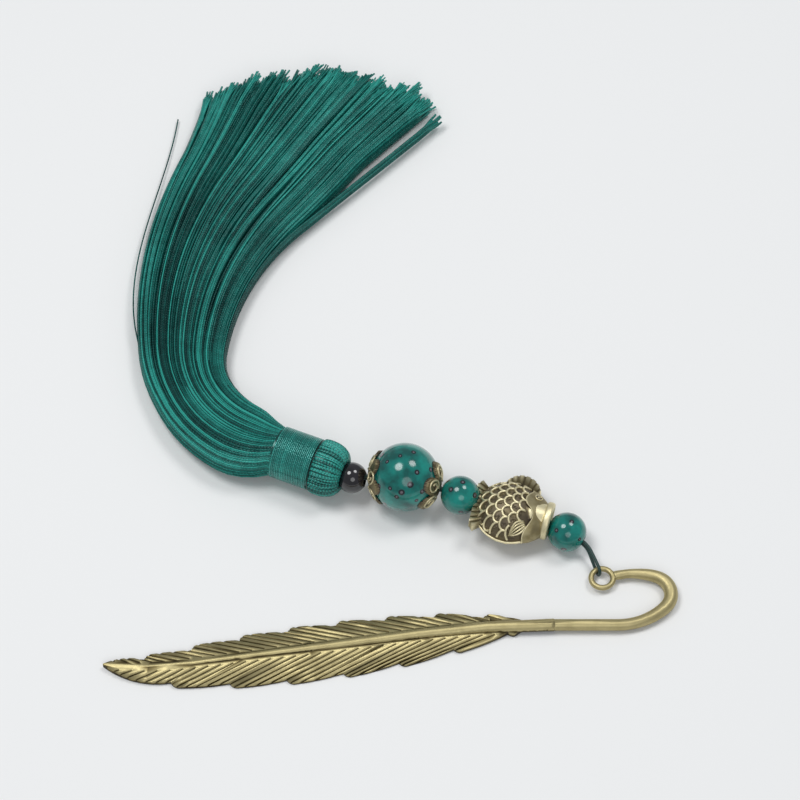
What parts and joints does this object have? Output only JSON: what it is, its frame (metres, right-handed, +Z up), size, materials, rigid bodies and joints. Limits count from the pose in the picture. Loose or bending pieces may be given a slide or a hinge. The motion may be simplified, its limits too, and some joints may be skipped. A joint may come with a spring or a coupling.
{
  "type": "tasselled feather bookmark",
  "caption": "Bookmark of a cast feather that ends in a hook, with a cord of beads, a fish bead and a thread tassel hanging from the hook's eyelet.",
  "frame": {"origin": "on the feather's flat back at the quill, where a page lies against it", "axes": "+Z up from the table it lies on, +X along the shank towards the hook's bend, +Y to the side that the tassel lies on"},
  "size_m": [0.1119, 0.1492, 0.0137],
  "materials": {
    "antique_bronze": "antiqued, dark in the recesses",
    "waxed_cord": "waxed",
    "green_glaze": "glossy, with dark specks",
    "black_stone": "polished",
    "tassel_thread": "silky"
  },
  "bodies": {
    "feather": {"feather_hook": "antique_bronze"},
    "strand": {"hanging_cord": "waxed_cord"},
    "hook_end_bead": {"hook_end_bead": "green_glaze"},
    "fish": {"fish_bead": "antique_bronze"},
    "tail_end_bead": {"tail_end_bead": "green_glaze"},
    "fish_side_cap": {"fish_side_cap": "antique_bronze"},
    "speckled_bead": {"speckled_bead": "green_glaze"},
    "tassel_side_cap": {"tassel_side_cap": "antique_bronze"},
    "dark_bead": {"dark_bead": "black_stone"},
    "tassel": {"tassel_head": "tassel_thread", "cord_knot": "waxed_cord", "tie_thread": "waxed_cord", "neck_winding": "tassel_thread", "tassel_skirt": "tassel_thread"}
  },
  "joints": [
    {"name": "strand_swing", "type": "hinge", "parent": "feather", "child": "strand", "pos_m": [0.0197, 0.01049, 0.00138], "axis": [0, 0, 1], "range_deg": [-50, 20]},
    {"name": "hook_end_bead_spin", "type": "hinge", "parent": "strand", "child": "hook_end_bead", "pos_m": [0.01292, 0.01953, 0.00395], "axis": [-0.8695, 0.4623, 0.1736], "continuous": true},
    {"name": "fish_spin", "type": "hinge", "parent": "strand", "child": "fish", "pos_m": [0.00976, 0.02136, 0.00468], "axis": [-0.9539, 0.2935, 0.0629], "continuous": true},
    {"name": "tail_end_bead_spin", "type": "hinge", "parent": "strand", "child": "tail_end_bead", "pos_m": [-0.00807, 0.02685, 0.00586], "axis": [-0.9539, 0.2935, 0.0629], "continuous": true},
    {"name": "fish_side_cap_spin", "type": "hinge", "parent": "strand", "child": "fish_side_cap", "pos_m": [-0.01899, 0.0304, 0.0069], "axis": [-0.9431, 0.3156, 0.1045], "continuous": true},
    {"name": "speckled_bead_spin", "type": "hinge", "parent": "strand", "child": "speckled_bead", "pos_m": [-0.01899, 0.0304, 0.0069], "axis": [-0.9816, 0.1909, -0.0042], "continuous": true},
    {"name": "tassel_side_cap_spin", "type": "hinge", "parent": "strand", "child": "tassel_side_cap", "pos_m": [-0.01899, 0.0304, 0.0069], "axis": [-0.9918, 0.0607, -0.1129], "continuous": true},
    {"name": "dark_bead_spin", "type": "hinge", "parent": "strand", "child": "dark_bead", "pos_m": [-0.02953, 0.03105, 0.0057], "axis": [-0.9726, 0.2251, -0.0573], "continuous": true},
    {"name": "tassel_swing", "type": "hinge", "parent": "strand", "child": "tassel", "pos_m": [-0.02953, 0.03105, 0.0057], "axis": [0, 0, 1], "range_deg": [-20, 20]}
  ]
}
